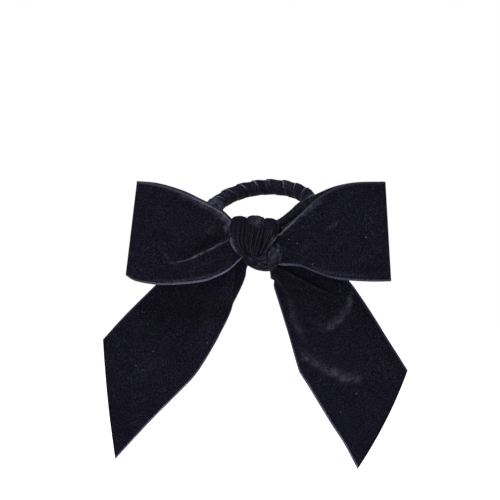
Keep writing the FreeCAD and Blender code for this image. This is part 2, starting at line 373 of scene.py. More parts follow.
def noise(material, size, detail, roughness=0.5):
    """Noise whose spots are about `size` metres across."""
    return node(material, "ShaderNodeTexNoise",
                {"Vector": object_place(material), "Scale": SPOT_SCALE / size, "Detail": detail,
                 "Roughness": roughness}).outputs["Fac"]


def stretch(material, value, low, high, out_low=0.0, out_high=1.0):
    return node(material, "ShaderNodeMapRange",
                {"Value": value, "From Min": low, "From Max": high,
                 "To Min": out_low, "To Max": out_high}, clamp=True).outputs["Result"]


def maths(material, operation, a, b):
    return node(material, "ShaderNodeMath", {0: a, 1: b}, operation=operation).outputs["Value"]


def add_bump(material, shader, height, strength, distance):
    bump = node(material, "ShaderNodeBump", {"Height": height, "Strength": strength, "Distance": distance})
    material.node_tree.links.new(bump.outputs["Normal"], shader.inputs["Normal"])


def mix_colours(material, share, a, b):
    made = node(material, "ShaderNodeMix", data_type="RGBA")
    feed(material, made, {0: share, 6: a, 7: b})
    return made.outputs[2]


def colour(red, green, blue):
    return (red, green, blue, 1.0)


PILE_DARK = colour(0.0007, 0.0006, 0.0022)
PILE_MID = colour(0.0042, 0.0036, 0.0088)
PILE_VIOLET = colour(0.0210, 0.0175, 0.0370)
PILE_TEAL = colour(0.0120, 0.0185, 0.0260)
# Pale pile colour, for brushed pile and for painted highlight
PILE_BRUSHED_AND_HIGHLIGHT = colour(0.0850, 0.0830, 0.1250)
LINT = colour(0.20, 0.20, 0.23)
SHEEN_TINT = colour(0.74, 0.74, 1.0)


def velvet(name, mid=PILE_MID):
    """Short-pile velvet: dark face on, pale at grazing angles, mottled where the pile leans."""
    material, shader = new_material(name)
    tuft = noise(material, 0.42 * MM, 3.0, 0.75)
    cloud = noise(material, 6 * MM, 4.0, 0.65)
    hue = noise(material, 1.3 * MM, 3.0, 0.75)
    speck = noise(material, 0.8 * MM, 1.0)
    pile = mix_colours(material, stretch(material, tuft, 0.36, 0.62), PILE_DARK, mid)
    tinted = mix_colours(material, stretch(material, hue, 0.42, 0.58), PILE_VIOLET, PILE_TEAL)
    leaning = maths(material, "MULTIPLY", stretch(material, tuft, 0.50, 0.74),
                    stretch(material, cloud, 0.34, 0.66, 0.2, 1.0))
    pile = mix_colours(material, leaning, pile, tinted)
    # The per-point attribute pales the pile: partly brushed pile, partly painted highlight on crests, edges
    # and the knot's top
    stroke = node(material, "ShaderNodeAttribute", attribute_name="pile_and_highlight").outputs["Fac"]
    uneven = maths(material, "MULTIPLY", stretch(material, tuft, 0.36, 0.64, 0.35, 1.0),
                   stretch(material, hue, 0.36, 0.62, 0.18, 1.0))
    raised = maths(material, "MULTIPLY", stroke, uneven)
    pile = mix_colours(material, raised, pile, PILE_BRUSHED_AND_HIGHLIGHT)
    lint = stretch(material, speck, 0.80, 0.86, 0.0, 0.7)
    pile = mix_colours(material, lint, pile, LINT)
    feed(material, shader, {"Base Color": pile, "Roughness": 0.95, "Specular IOR Level": 0.05,
                            "Sheen Weight": 0.11, "Sheen Roughness": 0.22, "Sheen Tint": SHEEN_TINT})
    add_bump(material, shader, tuft, 0.6, 0.2 * MM)
    return material


def woven(name, base, raised, pitch=0.45 * MM, roughness=0.6, patch=2.5 * MM, dullest=0.5,
          highlighted=False):
    """Plain weave: fine ribs both ways, with a little yarn variation. With the last switch set, how
    bright the yarns are follows the piece's per-point painted highlight."""
    material, shader = new_material(name)
    place = object_place(material)
    weft, warp = (node(material, "ShaderNodeTexWave",
                       {"Vector": place, "Scale": RIB_SCALE / pitch, "Distortion": 0.6, "Detail": 1.0,
                        "Detail Scale": 2.0}, bands_direction=direction).outputs["Fac"]
                  for direction in ("Z", "X"))
    threads = maths(material, "MULTIPLY", weft, warp)
    yarn = noise(material, patch, 3.0)
    shade = maths(material, "MULTIPLY", stretch(material, threads, 0.1, 0.8),
                  stretch(material, yarn, 0.35, 0.65, dullest, 1.0))
    if highlighted:
        share = node(material, "ShaderNodeAttribute", attribute_name="pile_and_highlight").outputs["Fac"]
        shade = maths(material, "MULTIPLY", shade, share)
    cloth = mix_colours(material, shade, base, raised)
    feed(material, shader, {"Base Color": cloth, "Roughness": roughness, "Specular IOR Level": 0.08,
                            "Sheen Weight": 0.08, "Sheen Roughness": 0.3, "Sheen Tint": SHEEN_TINT})
    add_bump(material, shader, threads, 0.5, 0.15 * MM)
    return material


def rubber(name):
    material, shader = new_material(name)
    grain = noise(material, 0.4 * MM, 3.0)
    face = mix_colours(material, grain, colour(0.006, 0.006, 0.007), colour(0.02, 0.02, 0.022))
    feed(material, shader, {"Base Color": face, "Roughness": stretch(material, grain, 0.3, 0.7, 0.55, 0.75)})
    add_bump(material, shader, grain, 0.3, 0.1 * MM)
    return material


VELVET = velvet("bow_velvet")
WRAP_VELVET = velvet("wrap_velvet", colour(0.0062, 0.0055, 0.0118))
COLLAR_VELVET = velvet("collar_velvet", colour(0.0085, 0.0078, 0.0150))
# The back's pile is lighter than the face's: painted light that lifts the shade inside the loops
BACKING = velvet("ribbon_back", colour(0.0062, 0.0055, 0.0120))
# Selvedge yarns turn pale lavender as far as each bead's painted highlight reaches
SELVEDGE = woven("ribbon_selvedge", colour(0.0055, 0.005, 0.011), colour(0.230, 0.222, 0.340),
                 0.3 * MM, 0.6, 5 * MM, 0.55, True)
CUT_EDGE = woven("ribbon_cut_edge", colour(0.004, 0.004, 0.008), colour(0.02, 0.019, 0.03))
RUBBER = rubber("elastic_rubber")
TAPE = woven("join_tape", colour(0.01, 0.01, 0.012), colour(0.03, 0.03, 0.034))


# ---- loops and tails

BOW_DEPTH = {side: sum(corner.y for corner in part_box(f"{side}_loop")) / 2 for side in ("left", "right")}
LOOP_SWELL = 7.6 * MM

LOOPS = {
    "left": {
        "front_top": [(1.08, 0.50), (0.985, 0.62), (0.90, 0.700), (0.69, 0.812), (0.53, 0.888),
                      (0.30, 0.962), (0.100, 0.996)],
        "front_low": [(1.13, 0.30), (0.99, 0.158), (0.85, 0.080), (0.70, 0.034), (0.42, 0.008),
                      (0.25, 0.014), (0.083, 0.048), (-0.005, 0.098)],
        "back_top": [(1.08, 0.55), (0.985, 0.650), (0.90, 0.722), (0.69, 0.832), (0.53, 0.908),
                     (0.30, 0.976), (0.100, 0.996)],
        "back_low": [(1.08, 0.34), (0.98, 0.25), (0.85, 0.16), (0.70, 0.09), (0.42, 0.04),
                     (0.25, 0.035), (0.083, 0.055), (-0.005, 0.098)],
        "top_glow": [1.5, 1.5, 1.1, 0.6, 0.35, 0.3, 0.25, 0.25, 0.2, 0.2],
        "low_glow": [1.0, 1.3, 1.1, 0.8, 0.5, 0.3, 0.3, 0.3, 0.3, 0.2],
    },
    "right": {
        "front_top": [(-0.085, 0.38), (-0.011, 0.490), (0.091, 0.585), (0.193, 0.690), (0.305, 0.806),
                      (0.49, 0.930), (0.69, 0.985), (0.960, 0.996)],
        "front_low": [(-0.10, 0.20), (-0.002, 0.172), (0.12, 0.165), (0.19, 0.152), (0.267, 0.115),
                      (0.439, 0.045), (0.592, 0.018), (0.829, 0.003), (1.012, 0.006)],
        "back_top": [(-0.10, 0.58), (-0.03, 0.615), (0.062, 0.69), (0.166, 0.79), (0.323, 0.872),
                     (0.49, 0.948), (0.69, 0.990), (0.960, 0.996)],
        "back_low": [(-0.10, 0.26), (0.0, 0.23), (0.19, 0.20), (0.267, 0.16), (0.439, 0.09),
                     (0.592, 0.05), (0.829, 0.02), (1.012, 0.006)],
        "top_glow": [0.6, 1.0, 0.25, 0.1, 0.1, 0.1, 0.15, 0.15, 0.15, 0.1],
        "low_glow": [0.9, 0.6, 0.25, 0.7, 0.45, 0.3, 0.3, 0.3, 0.3, 0.2],
    },
}

TAILS = {
    "left": {
        "outer": [(1.04, 1.25), (0.90, 1.285), (0.75, 1.275), (0.60, 1.19), (0.395, 1.020),
                  (0.170, 0.842), (-0.003, 0.692)],
        "inner": [(1.12, 1.20), (1.06, 1.14), (1.045, 1.08), (1.018, 1.022), (0.965, 0.932),
                  (0.932, 0.86), (0.888, 0.785), (0.815, 0.672), (0.688, 0.508), (0.555, 0.392),
                  (0.354, 0.230), (0.086, -0.002)],
        "outer_glow": [0.2, 0.2, 0.2, 0.25, 0.2, 0.2],
        "inner_glow": [0.15, 0.15, 0.35, 0.8, 1.3, 1.8, 2.0, 2.0],
        "cut_bow": 0.7 * MM,
    },
    "right": {
        "outer": [(0.02, 1.24), (0.12, 1.262), (0.25, 1.235), (0.405, 1.155), (0.565, 1.03),
                  (0.695, 0.896), (0.85, 0.718), (1.008, 0.537)],
        "inner": [(-0.10, 1.20), (-0.040, 1.096), (-0.007, 1.007), (0.040, 0.896), (0.104, 0.741),
                  (0.174, 0.562), (0.204, 0.518), (0.262, 0.451), (0.428, 0.251), (0.528, 0.139),
                  (0.632, -0.003)],
        "outer_glow": [0.3, 0.3, 0.3, 0.3, 0.25, 0.3],
        "inner_glow": [0.3, 0.45, 0.5, 0.7, 1.2, 1.8, 2.0, 2.0],
        "cut_bow": 1.7 * MM,
    },
}


def loop_grid(side, rows=150, columns=140):
    """The loop's pile face in one run: front layer from the knot, end fold, back layer."""
    box = f"{side}_loop"
    out = {key: in_box(box, LOOPS[side][key]) for key in ("front_top", "front_low", "back_top", "back_low")}
    reach = np.sin(0.5 * math.pi * np.linspace(0, 1, rows))
    across = np.linspace(0, 1, columns)
    front = ruled(out["front_top"], out["front_low"], reach, across)
    back = ruled(out["back_top"], out["back_low"], reach, across)
    half = 0.75 * MM + LOOP_SWELL * reach ** 0.8 * np.sqrt(1 - reach ** 2) - 0.75 * MM * reach
    half = np.repeat(half[:, None], columns, axis=1)
    drift = (1 - reach[:, None]) * -1.2 * MM
    sheets = []
    for flat, facing in ((front, -1), (back, 1)):
        depth = BOW_DEPTH[side] + drift + facing * half
        depth = depth + ripple(across[None, :], reach[:, None], 0.45 * MM, 5,
                               11 if facing < 0 else 12) * (1 - reach[:, None]) ** 0.3
        sheets.append(np.stack([flat[..., 0], depth, flat[..., 1]], axis=2))
    return sheets, reach, across


def gathers(grid, reach, across, pleats, facing):
    """Small pleats that fan out from the knot and die away along the loop."""
    for centre, width, height, length in pleats:
        wave = np.exp(-((across[None, :] - centre) / width) ** 2) * np.exp(-(reach[:, None] / length) ** 2)
        grid[..., 1] += facing * height * MM * wave


# What each sheet is shaped by, in order. A fold is (front-view line, height, softness, overlap,
# side in front, hold, spread) and a ridge is (front-view line, height, width), lengths in mm.
SHAPING = {
    "left_loop": [
        ([(1.08, 0.54), (0.98, 0.535), (0.90, 0.55), (0.80, 0.60)], 0.9, 0.8, 0.8, 1, 0.2, 8),
        ([(1.04, 0.60), (0.93, 0.62), (0.80, 0.68)], 1.0, 2.2),
        ([(1.0, 0.30), (0.75, 0.17), (0.5, 0.12)], 0.8, 2.6),
        ([(0.47, 0.21), (0.40, 0.25), (0.36, 0.32)], -0.9, 2.2),
        ([(0.90, 0.47), (0.70, 0.37), (0.50, 0.33)], -0.8, 3),
        ([(1.10, 0.49), (0.985, 0.455), (0.87, 0.395), (0.75, 0.331), (0.60, 0.262), (0.47, 0.225),
          (0.36, 0.20)], 3.0, 0.7, 2.6, -1, 0.45, 30)],
    "right_loop": [
        ([(-0.08, 0.44), (0.02, 0.485), (0.10, 0.545), (0.19, 0.575), (0.30, 0.585), (0.42, 0.60)],
         1.8, 0.9, 1.2, -1, 0.25, 12),
        ([(-0.06, 0.36), (0.05, 0.395), (0.17, 0.41), (0.30, 0.43)], 1.3, 0.9, 1.0, -1, 0.2, 8),
        ([(0.42, 0.52), (0.50, 0.57), (0.53, 0.66)], -0.7, 2.5),
        ([(0.05, 0.56), (0.2, 0.70), (0.35, 0.82)], 0.9, 2.6),
        ([(-0.08, 0.255), (0.02, 0.235), (0.15, 0.225), (0.30, 0.19)], 1.3, 0.8, 0.8, -1, 0.2, 6)],
    "left_tail": [
        ([(0.90, 1.2), (0.86, 1.05), (0.80, 0.85)], -0.9, 2.5),
        ([(0.25, 0.85), (0.45, 0.60), (0.50, 0.35)], 0.9, 7),
        ([(0.80, 1.10), (0.74, 0.85), (0.66, 0.62)], 0.8, 6),
        ([(0.935, 1.22), (0.92, 1.10), (0.905, 0.98), (0.90, 0.86)], 1.3, 0.7, 0.9, 1, 0.4, 6),
        ([(0.985, 1.20), (0.972, 1.12), (0.957, 1.03), (0.950, 0.95), (0.945, 0.88)],
         2.6, 0.7, 1.8, 1, 0.55, 30)],
    "right_tail": [
        ([(0.09, 0.96), (0.136, 0.835), (0.205, 0.713)], 0.9, 3),
        ([(0.572, 0.97), (0.53, 0.85), (0.373, 0.76)], 1.4, 3),
        ([(0.205, 0.63), (0.411, 0.534), (0.618, 0.50)], 1.3, 3),
        ([(0.35, 0.95), (0.30, 0.80), (0.30, 0.65)], -0.9, 6),
        ([(0.62, 0.80), (0.50, 0.68), (0.45, 0.62)], -0.9, 4),
        ([(-0.05, 1.07), (0.02, 1.022), (0.075, 0.975), (0.095, 0.925)], 1.3, 0.7, 1.0, -1, 0.3, 10),
        ([(0.20, 1.16), (0.33, 1.10), (0.47, 1.04), (0.56, 1.0)], 1.2, 0.7, 0.8, 1, 0.4, 8),
        ([(-0.02, 1.13), (0.06, 1.108), (0.185, 1.064), (0.318, 1.013), (0.45, 0.972), (0.55, 0.955)],
         1.5, 0.7, 1.3, 1, 0.5, 18)],
}

# Pleats at the knot: place across the ribbon, width, height in mm, reach along the loop
GATHERS = {
    "left": ([(0.12, 0.05, 1.0, 0.2), (0.27, 0.05, 0.6, 0.25), (0.75, 0.06, 0.7, 0.2)],
             [(0.15, 0.06, 1.2, 0.3), (0.4, 0.07, 1.4, 0.35), (0.68, 0.07, 1.2, 0.3)]),
    "right": ([(0.5, 0.07, 0.9, 0.2), (0.8, 0.06, 0.6, 0.2)],
              [(0.2, 0.06, 1.2, 0.3), (0.45, 0.07, 1.3, 0.35), (0.72, 0.07, 1.2, 0.3)]),
}


def shape_sheet(grid, box):
    """Work the folds and ridges of one sheet into its grid."""
    for line, height, *rest in SHAPING[box]:
        line = in_box(box, line)
        if len(rest) == 1:
            ridge(grid, line, height * MM, rest[0] * MM)
            continue
        soft, overlap, front_side, hold, spread = rest
        fold(grid, line, height * MM, soft * MM, overlap * MM, front_side, hold, spread * MM)


# Where the pile is brushed up, and where painted highlights run along fold crests and edges: front-view line,
# half width, strength
LOOP_STROKES = {
    "left": [([(1.05, 0.56), (0.985, 0.595), (0.90, 0.675), (0.78, 0.745), (0.60, 0.84), (0.40, 0.92)],
              1.0 * MM, 0.42),
             ([(1.04, 0.60), (0.975, 0.60), (0.955, 0.56), (0.955, 0.48)], 1.6 * MM, 1.0),
             ([(1.0, 0.57), (0.93, 0.66), (0.84, 0.725)], 1.5 * MM, 0.75),
             ([(0.84, 0.58), (0.79, 0.53), (0.76, 0.49)], 2.4 * MM, 0.22),
             ([(1.06, 0.468), (0.985, 0.440), (0.87, 0.380), (0.75, 0.316), (0.60, 0.247), (0.46, 0.208),
               (0.42, 0.20)], 0.42 * MM, 1.25),
             ([(0.48, 0.20), (0.42, 0.225), (0.38, 0.28), (0.35, 0.33)], 0.8 * MM, 0.3),
             ([(1.0, 0.19), (0.85, 0.11), (0.70, 0.065), (0.45, 0.035), (0.2, 0.05)], 0.9 * MM, 0.35)],
    "right": [([(-0.04, 0.460), (0.03, 0.520), (0.12, 0.605), (0.20, 0.685), (0.28, 0.765), (0.36, 0.825)],
               0.7 * MM, 0.8),
              ([(0.16, 0.625), (0.23, 0.700), (0.30, 0.77), (0.38, 0.83)], 1.9 * MM, 0.5),
              ([(-0.04, 0.46), (0.02, 0.455), (0.10, 0.51), (0.19, 0.545), (0.28, 0.555)], 0.6 * MM, 0.3),
              ([(0.40, 0.52), (0.46, 0.545), (0.50, 0.57), (0.52, 0.62)], 1.0 * MM, 0.3),
              ([(0.17, 0.33), (0.24, 0.36), (0.33, 0.40)], 1.6 * MM, 0.16),
              ([(0.22, 0.16), (0.40, 0.085), (0.60, 0.055), (0.80, 0.04)], 0.9 * MM, 0.3)],
}


def strokes_of(table, box):
    return [(in_box(box, line), width, strength) for line, width, strength in table]


def build_loop(side):
    (front, back), reach, across = loop_grid(side)
    shape_sheet(front, f"{side}_loop")
    gathers(front, reach, across, GATHERS[side][0], -1)
    gathers(back, reach, across, GATHERS[side][1], 1)
    pile_and_highlight = pile_and_highlight_share(front, strokes_of(LOOP_STROKES[side], f"{side}_loop"))
    grid = np.vstack([front, back[-2::-1]])
    pile_and_highlight = np.vstack([pile_and_highlight, np.zeros(back[-2::-1].shape[:2])])
    glows = [LOOPS[side]["top_glow"], LOOPS[side]["low_glow"]]
    clear_of_ends = slice(10, len(front) - 11)
    grid, pile_and_highlight, glows = face_viewer(grid, pile_and_highlight, glows, clear_of_ends)
    # A painted light over the loop's whole back lifts the shade between its two layers
    ribbon = cloth_piece(f"{side}_loop_ribbon", grid, RIBBON_THICK, VELVET, BACKING, SELVEDGE, pile_and_highlight,
                         back_painted_light=0.16)
    edge = selvedges(f"{side}_loop_selvedge", grid, glows)
    return ribbon, edge, 2 * column_lengths(front)[len(across) // 2]


def tail_grid(side, rows=150, columns=104):
    box = f"{side}_tail"
    along = np.linspace(0, 1, rows)
    across = np.linspace(0, 1, columns)
    flat = ruled(in_box(box, TAILS[side]["outer"]), in_box(box, TAILS[side]["inner"]), along, across)
    cut = unit(flat[-1, -1] - flat[-1, 0])
    outward = np.array([-cut[1], cut[0]])
    middle = flat[:, columns // 2]
    outward = outward if outward @ (middle[-1] - middle[-20]) > 0 else -outward
    bow = TAILS[side]["cut_bow"] * 4 * across * (1 - across)
    flat = flat + (along[:, None] ** 10 * bow[None, :])[..., None] * outward
    hang = JOINTS[f"{side}_tail_swing"]["pos_m"][1]
    knot_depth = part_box(f"{side}_tail_root")[0].y
    settle = 1 - np.exp(-(along / 0.12) ** 1.5)
    depth = knot_depth + (hang - knot_depth) * settle - 0.9 * MM * np.sin(math.pi * along) ** 2
    curl = 1.4 * MM * (2 * across[None, :] - 1) ** 2 * np.sin(math.pi * along)[:, None]
    depth = depth[:, None] + curl + ripple(across[None, :], along[:, None], 0.7 * MM, 5,
                                           21 if side == "left" else 22)
    return np.stack([flat[..., 0], depth, flat[..., 1]], axis=2)


# Brushed streaks, and painted highlights along fold crests and edges, in the same columns
TAIL_STROKES = {
    "left": [([(0.80, 0.98), (0.77, 0.80), (0.73, 0.66), (0.66, 0.55)], 5 * MM, 0.08),
             ([(0.45, 0.62), (0.30, 0.52), (0.20, 0.42)], 6 * MM, 0.08),
             ([(0.925, 1.15), (0.915, 1.05), (0.905, 0.95), (0.90, 0.88)], 0.4 * MM, 0.12),
             ([(0.97, 1.12), (0.952, 1.0), (0.945, 0.92)], 0.4 * MM, 0.2),
             ([(0.80, 0.64), (0.66, 0.46), (0.50, 0.33), (0.30, 0.165), (0.12, 0.02)], 0.9 * MM, 0.5)],
    "right": [([(0.07, 0.98), (0.10, 0.92), (0.125, 0.84), (0.165, 0.78), (0.22, 0.70)], 2.2 * MM, 0.30),
              ([(0.525, 0.85), (0.57, 0.91), (0.58, 0.985)], 1.8 * MM, 0.58),
              ([(0.35, 0.77), (0.42, 0.785), (0.50, 0.83), (0.56, 0.92)], 2.4 * MM, 0.5),
              ([(0.18, 0.66), (0.24, 0.61), (0.33, 0.56), (0.411, 0.525)], 2.6 * MM, 0.45),
              ([(0.33, 0.56), (0.43, 0.525), (0.53, 0.500), (0.66, 0.49)], 3.0 * MM, 0.56),
              ([(-0.01, 1.115), (0.06, 1.094), (0.185, 1.050), (0.318, 0.999), (0.45, 0.962)],
               0.35 * MM, 0.4),
              ([(-0.04, 1.08), (0.02, 1.035), (0.08, 0.985)], 0.4 * MM, 0.35),
              ([(0.22, 0.50), (0.30, 0.38), (0.44, 0.215), (0.54, 0.10)], 0.9 * MM, 0.45)],
}


def build_tail(side):
    grid = tail_grid(side)
    shape_sheet(grid, f"{side}_tail")
    pile_and_highlight = pile_and_highlight_share(grid, strokes_of(TAIL_STROKES[side], f"{side}_tail"))
    glows = [TAILS[side]["outer_glow"], TAILS[side]["inner_glow"]]
    grid, pile_and_highlight, glows = face_viewer(grid, pile_and_highlight, glows)
    ribbon = cloth_piece(f"{side}_tail_ribbon", grid, RIBBON_THICK, VELVET, BACKING, CUT_EDGE, pile_and_highlight)
    edge = selvedges(f"{side}_tail_selvedge", grid, glows)
    return ribbon, edge, column_lengths(grid)


# ---- knot

CORE_LOW, CORE_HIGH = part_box("knot_core")
BAND_LOW, BAND_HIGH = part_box("knot_band")
TURN_LOW, TURN_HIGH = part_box("knot_lower_turn")


def crests(relief, window, height):
    """How far each point stands above the relief's mean across the cloth, from 0 to 1."""
    wide = np.pad(relief, ((0, 0), (window // 2, window // 2)), mode="edge")
    level = np.stack([np.convolve(row, np.ones(window) / window, mode="valid") for row in wide])
    return np.clip((relief - level) / height, 0, 1)


def build_knot_band(rows=130, columns=220):
    """The knot's outer turn: a fan of rolled pleats that narrows towards its foot."""
    left = in_box("knot_band", [(0.10, 0.66), (0.05, 0.86), (0.05, 0.97), (0.01, 0.80), (0.0, 0.58),
                                (0.02, 0.33), (0.12, 0.10), (0.30, -0.07)])
    right = in_box("knot_band", [(0.90, 0.66), (0.95, 0.80), (0.95, 0.92), (0.965, 0.78), (0.95, 0.60),
                                 (0.87, 0.38), (0.75, 0.16), (0.62, 0.0)])
    down = np.linspace(0, 1, rows)
    across = np.linspace(0, 1, columns)
    flat = ruled(left, right, down, across)
    back = CORE_HIGH.y - 1.0 * MM
    front = BAND_LOW.y + 1.2 * MM
    profile = [(0.0, back), (0.10, back - 2.5 * MM), (0.20, BAND_HIGH.y - 1.5 * MM),
               (0.34, front + 1.3 * MM), (0.55, front), (0.78, front + 0.5 * MM), (1.0, front + 3.6 * MM)]
    middle = np.interp(down, *zip(*profile))
    middle = np.convolve(np.pad(middle, 8, mode="edge"), np.ones(17) / 17, mode="valid")
    edge = np.maximum(middle, BAND_HIGH.y + 0.2 * MM)
    edge = np.minimum(edge, middle + np.interp(down, [0.35, 0.6, 1.0], [9, 2.2, 1.0]) * MM)
    crown = 1 - np.abs(2 * across - 1) ** 2.4
    depth = edge[:, None] + (middle - edge)[:, None] * crown[None, :]
    crest = np.exp(-((down - 0.24) / 0.12) ** 2)[:, None] * crown[None, :] * 0.9 * MM
    grid = np.stack([flat[..., 0], depth, flat[..., 1] + crest], axis=2)
    normals = grid_normals(grid)
    if normals[..., 1].mean() > 0:
        normals = -normals
    lift = np.zeros((rows, columns))
    wander = 0.015 * np.sin(4 * down)[:, None]
    for start, end, height in ((-0.01, 0.335, 1.4), (0.335, 0.72, 1.8), (0.72, 1.01, 1.2)):
        place = (across[None, :] + wander - start) / (end - start)
        inside = (place >= 0) & (place <= 1)
        lift += np.where(inside, np.clip(1 - (2 * place - 1) ** 2, 0, 1) ** 0.5, 0) * height
    rng = np.random.default_rng(17)
    for centre in (0.07, 0.16, 0.25, 0.30, 0.39, 0.44, 0.50, 0.57, 0.62, 0.70, 0.74, 0.84, 0.90, 0.95):
        width = rng.uniform(0.008, 0.020)
        deep = rng.uniform(0.45, 1.4)
        begin = rng.choice([0.16, 0.28, 0.45])
        reach = np.clip((down - begin) / 0.25, 0, 1)[:, None]
        sway = (0.020 * np.sin(5 * down + TAU * rng.random()) + 0.10 * (0.5 - centre) * down ** 3)[:, None]
        lift -= deep * reach * np.exp(-((across[None, :] - centre - sway) / width) ** 2)
    from_side = np.minimum(across, 1 - across)
    lift *= np.clip(from_side / 0.035, 0, 1)[None, :] ** 0.5
    grid = grid + normals * (lift * MM)[..., None]
    # Painted highlights: a rim light along both sides, light on the pleats' crests, a spot on the top and a
    # streak at the right
    rim_light = np.exp(-((from_side - 0.045) / 0.035) ** 2)[None, :]
    rim_light = rim_light * np.interp(down, [0.42, 0.6, 0.85, 1.0], [0.0, 1.0, 1.0, 0.4])[:, None]
    lit = crests(lift, 21, 0.55) * np.interp(down, [0.15, 0.35, 0.7, 1.0], [0.04, 0.12, 0.22, 0.36])[:, None]
    top_highlight = 0.6 * np.exp(-((across[None, :] - 0.56) / 0.11) ** 2 - ((down[:, None] - 0.28) / 0.06) ** 2)
    right_highlight = 0.4 * np.exp(-((across[None, :] - 0.83) / 0.03) ** 2 - ((down[:, None] - 0.5) / 0.14) ** 2)
    pile_and_highlight = np.maximum(np.maximum(lit, rim_light), np.maximum(top_highlight, right_highlight))
    glows = [[0.1, 0.15, 0.3, 0.9, 2.4, 2.4, 1.8, 1.2], [0.1, 0.2, 0.25, 0.5, 2.4, 2.4, 2.2, 1.6]]
    grid, pile_and_highlight, glows = face_viewer(grid, pile_and_highlight, glows)
    band = cloth_piece("knot_fan", grid, RIBBON_THICK, VELVET, BACKING, SELVEDGE, pile_and_highlight)
    edge_bead = selvedges("knot_fan_selvedge", grid, glows)
    return band, edge_bead, float(column_lengths(grid).mean())


def section_frame(centres):
    """Two section directions for a swept tube: across the front, and towards the viewer."""
    viewer = np.array([0.0, -1.0, 0.0])
    tangent = unit(np.gradient(centres, axis=0))
    outs = unit(viewer[None, :] - (tangent @ viewer)[:, None] * tangent)
    return unit(np.cross(tangent, outs)), outs


def build_lower_turn(rows=150, around=128):
    """The ribbon's second turn, a soft crumpled roll that passes under the fan's foot."""
    width = TURN_HIGH.x - TURN_LOW.x
    height = TURN_HIGH.z - TURN_LOW.z
    depth = TURN_LOW.y + 3.9 * MM
    places = [(-0.02, 0.50, 2.4), (0.14, 0.36, 1.0), (0.36, 0.26, 0.2), (0.60, 0.26, 0.0),
              (0.72, 0.42, 0.3), (0.74, 0.62, 1.2), (0.66, 0.86, 2.8)]
    points = [(TURN_LOW.x + fx * width, depth + back * MM, TURN_LOW.z + fz * height)
              for fx, fz, back in places]
    share = np.linspace(0, 1, rows)
    centres = smooth_line(points, share)
    sides, outs = section_frame(centres)
    swell = np.interp(share, [0, 0.10, 0.3, 0.5, 0.75, 0.9, 1.0], [2.4, 3.9, 4.5, 4.9, 4.6, 3.6, 2.0]) * MM
    angle = np.linspace(0, TAU, around, endpoint=False)[None, :]
    rng = np.random.default_rng(23)
    relief = 0.05 * np.cos(3 * angle + 5 * share[:, None]) + 0.03 * np.cos(2 * angle - 9 * share[:, None])
    for centre in (0.15 * math.pi, 0.34 * math.pi, 0.50 * math.pi, 0.66 * math.pi, 0.88 * math.pi):
        bend = 0.45 * np.sin(TAU * (1.1 * share + rng.random()))[:, None] + rng.uniform(-0.1, 0.1)
        crease = (angle - centre - bend) / rng.uniform(0.05, 0.10)
        fade = np.sin(math.pi * np.clip((share - rng.uniform(-0.2, 0.2)) / 0.9, 0, 1))[:, None]
        relief = relief - rng.uniform(0.08, 0.18) * fade * np.exp(-crease ** 2)
    radii = swell[:, None, None] * np.stack([1 + 0.6 * relief, 0.8 * (1 + 1.6 * relief)], axis=2)
    # Painted highlight on the side towards the viewer and on the crests, varying along the roll, with random
    # blotches of brushed pile
    facing = np.clip(np.sin(angle), 0, 1) ** 0.5
    along = np.interp(share, [0, 0.3, 0.5, 0.65, 0.85, 1], [0.12, 0.18, 0.26, 0.42, 0.42, 0.2])[:, None]
    blotch = ripple(angle / TAU * 4, share[:, None] * 4, 1.6, 7, 31)
    pile_and_highlight = facing * along * (0.5 + 0.9 * crests(relief, 17, 0.08) + 0.8 * blotch)
    pile_and_highlight = np.clip(pile_and_highlight, 0, 1).ravel()
    return tube_piece("knot_lower_roll", centres, sides, outs, radii, [VELVET], pile_and_highlight)


def build_core(rows=90, around=80):
    """The gathered waist of the two loops inside the knot, pleated lengthwise."""
    share = np.linspace(0, 1, rows)
    left_x = CORE_LOW.x - 1.5 * MM
    right_x = CORE_HIGH.x + 1.5 * MM
    middle_z = (CORE_LOW.z + CORE_HIGH.z) / 2
    middle_y = (CORE_LOW.y + CORE_HIGH.y) / 2
    centres = np.stack([left_x + share * (right_x - left_x), np.full(rows, middle_y),
                        middle_z + 0.6 * MM * np.sin(math.pi * share)], axis=1)
    sides = np.tile([0.0, 0.0, 1.0], (rows, 1))
    outs = np.tile([0.0, -1.0, 0.0], (rows, 1))
    waist = 1 - 0.20 * np.sin(math.pi * share) ** 2
    ends = np.sqrt(np.clip(1 - (2 * share - 1) ** 8, 0.15, 1))
    half_z = 0.5 * (CORE_HIGH.z - CORE_LOW.z) * 0.93 * waist * ends
    half_y = 0.5 * (CORE_HIGH.y - CORE_LOW.y) * 1.02 * (1 + 0.15 * np.sin(math.pi * share)) * ends
    angle = np.linspace(0, TAU, around, endpoint=False)[None, :]
    pleats = 0.05 * np.abs(np.sin(5.5 * angle + 1.5 * np.sin(2 * share)[:, None])) \
        + 0.02 * np.cos(15 * angle + 4 * share[:, None])
    radii = np.stack([half_z[:, None] * (1 + pleats), half_y[:, None] * (1 + 2.5 * pleats)], axis=2)
    return tube_piece("knot_waist", centres, sides, outs, radii, [VELVET])


STRAP_PLEATS = 10
STRAP_PLEAT_DEPTH = 1.9 * MM
GATHERED_THICK = 0.5 * MM


